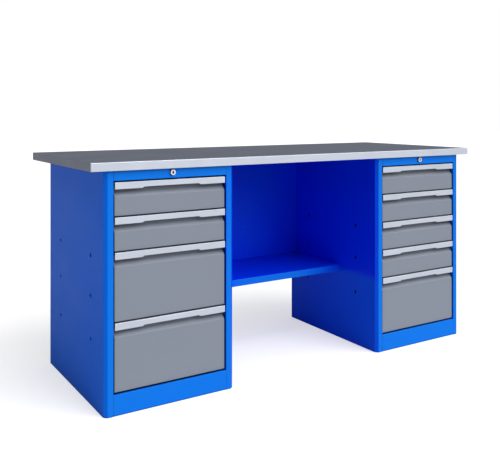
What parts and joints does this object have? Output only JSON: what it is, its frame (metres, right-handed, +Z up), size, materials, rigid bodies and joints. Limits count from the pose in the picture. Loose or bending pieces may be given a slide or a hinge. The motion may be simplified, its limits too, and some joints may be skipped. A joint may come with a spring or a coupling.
{
  "type": "workbench with drawers",
  "caption": "Steel-clad worktop on two drawer pedestals of unequal drawer stacks, each with a lock, joined by a shelf and a back screen.",
  "frame": {"origin": "on the floor, at the middle of the worktop's outline", "axes": "+X along the bench to the right seen from the front, +Y towards the back, +Z up; the front faces -Y"},
  "size_m": [1.8, 0.7, 0.85],
  "materials": {
    "blue_paint": "satin powder coat",
    "grey_paint": "satin powder coat",
    "worktop_paint": "satin paint",
    "drawer_steel": "satin powder coat",
    "handle_aluminium": "brushed anodised",
    "slide_steel": "zinc plated",
    "galvanised": "galvanised",
    "board": "particle board",
    "lock_chrome": "polished",
    "zinc_bolts": "zinc plated"
  },
  "bodies": {
    "frame": {"worktop_board": "board", "worktop_cladding": "worktop_paint", "left_pedestal_left_side": "blue_paint", "left_pedestal_right_side": "blue_paint", "left_pedestal_back": "blue_paint", "left_pedestal_top": "blue_paint", "left_pedestal_base": "blue_paint", "left_pedestal_rails": "slide_steel", "right_pedestal_left_side": "blue_paint", "right_pedestal_right_side": "blue_paint", "right_pedestal_back": "blue_paint", "right_pedestal_top": "blue_paint", "right_pedestal_base": "blue_paint", "right_pedestal_rails": "slide_steel", "worktop_front_edge": "handle_aluminium", "slide_posts": "galvanised", "shelf": "blue_paint", "back_screen": "blue_paint", "lock_housings": "lock_chrome", "frame_bolts": "zinc_bolts"},
    "left_lock_core_body": {"left_lock_core": "lock_chrome"},
    "left_lock_bar_body": {"left_lock_bar": "galvanised"},
    "left_drawer_1": {"left_drawer_1_front": "grey_paint", "left_drawer_1_handle": "handle_aluminium", "left_drawer_1_box": "drawer_steel", "left_drawer_1_runners": "slide_steel"},
    "left_drawer_2": {"left_drawer_2_front": "grey_paint", "left_drawer_2_handle": "handle_aluminium", "left_drawer_2_box": "drawer_steel", "left_drawer_2_runners": "slide_steel"},
    "left_drawer_3": {"left_drawer_3_front": "grey_paint", "left_drawer_3_handle": "handle_aluminium", "left_drawer_3_box": "drawer_steel", "left_drawer_3_runners": "slide_steel"},
    "left_drawer_4": {"left_drawer_4_front": "grey_paint", "left_drawer_4_handle": "handle_aluminium", "left_drawer_4_box": "drawer_steel", "left_drawer_4_runners": "slide_steel"},
    "right_lock_core_body": {"right_lock_core": "lock_chrome"},
    "right_lock_bar_body": {"right_lock_bar": "galvanised"},
    "right_drawer_1": {"right_drawer_1_front": "grey_paint", "right_drawer_1_handle": "handle_aluminium", "right_drawer_1_box": "drawer_steel", "right_drawer_1_runners": "slide_steel"},
    "right_drawer_2": {"right_drawer_2_front": "grey_paint", "right_drawer_2_handle": "handle_aluminium", "right_drawer_2_box": "drawer_steel", "right_drawer_2_runners": "slide_steel"},
    "right_drawer_3": {"right_drawer_3_front": "grey_paint", "right_drawer_3_handle": "handle_aluminium", "right_drawer_3_box": "drawer_steel", "right_drawer_3_runners": "slide_steel"},
    "right_drawer_4": {"right_drawer_4_front": "grey_paint", "right_drawer_4_handle": "handle_aluminium", "right_drawer_4_box": "drawer_steel", "right_drawer_4_runners": "slide_steel"},
    "right_drawer_5": {"right_drawer_5_front": "grey_paint", "right_drawer_5_handle": "handle_aluminium", "right_drawer_5_box": "drawer_steel", "right_drawer_5_runners": "slide_steel"}
  },
  "joints": [
    {"name": "left_lock_turn", "type": "hinge", "parent": "frame", "child": "left_lock_core_body", "pos_m": [-0.6, -0.338, 0.806], "axis": [0, 1, 0], "range_deg": [0, 90]},
    {"name": "left_lock_bar_lift", "type": "slide", "parent": "frame", "child": "left_lock_bar_body", "axis": [0, 0, 1], "range_m": [0, 0.0113]},
    {"name": "left_drawer_1_slide", "type": "slide", "parent": "frame", "child": "left_drawer_1", "axis": [0, -1, 0], "range_m": [0, 0.4]},
    {"name": "left_drawer_2_slide", "type": "slide", "parent": "frame", "child": "left_drawer_2", "axis": [0, -1, 0], "range_m": [0, 0.4]},
    {"name": "left_drawer_3_slide", "type": "slide", "parent": "frame", "child": "left_drawer_3", "axis": [0, -1, 0], "range_m": [0, 0.4]},
    {"name": "left_drawer_4_slide", "type": "slide", "parent": "frame", "child": "left_drawer_4", "axis": [0, -1, 0], "range_m": [0, 0.4]},
    {"name": "right_lock_turn", "type": "hinge", "parent": "frame", "child": "right_lock_core_body", "pos_m": [0.6, -0.338, 0.806], "axis": [0, 1, 0], "range_deg": [0, 90]},
    {"name": "right_lock_bar_lift", "type": "slide", "parent": "frame", "child": "right_lock_bar_body", "axis": [0, 0, 1], "range_m": [0, 0.0113]},
    {"name": "right_drawer_1_slide", "type": "slide", "parent": "frame", "child": "right_drawer_1", "axis": [0, -1, 0], "range_m": [0, 0.4]},
    {"name": "right_drawer_2_slide", "type": "slide", "parent": "frame", "child": "right_drawer_2", "axis": [0, -1, 0], "range_m": [0, 0.4]},
    {"name": "right_drawer_3_slide", "type": "slide", "parent": "frame", "child": "right_drawer_3", "axis": [0, -1, 0], "range_m": [0, 0.4]},
    {"name": "right_drawer_4_slide", "type": "slide", "parent": "frame", "child": "right_drawer_4", "axis": [0, -1, 0], "range_m": [0, 0.4]},
    {"name": "right_drawer_5_slide", "type": "slide", "parent": "frame", "child": "right_drawer_5", "axis": [0, -1, 0], "range_m": [0, 0.4]}
  ],
  "couplings": [
    {"joint": "left_lock_turn", "follows": "left_lock_bar_lift", "rad_per_m": 138.84},
    {"joint": "right_lock_turn", "follows": "right_lock_bar_lift", "rad_per_m": 138.84}
  ]
}
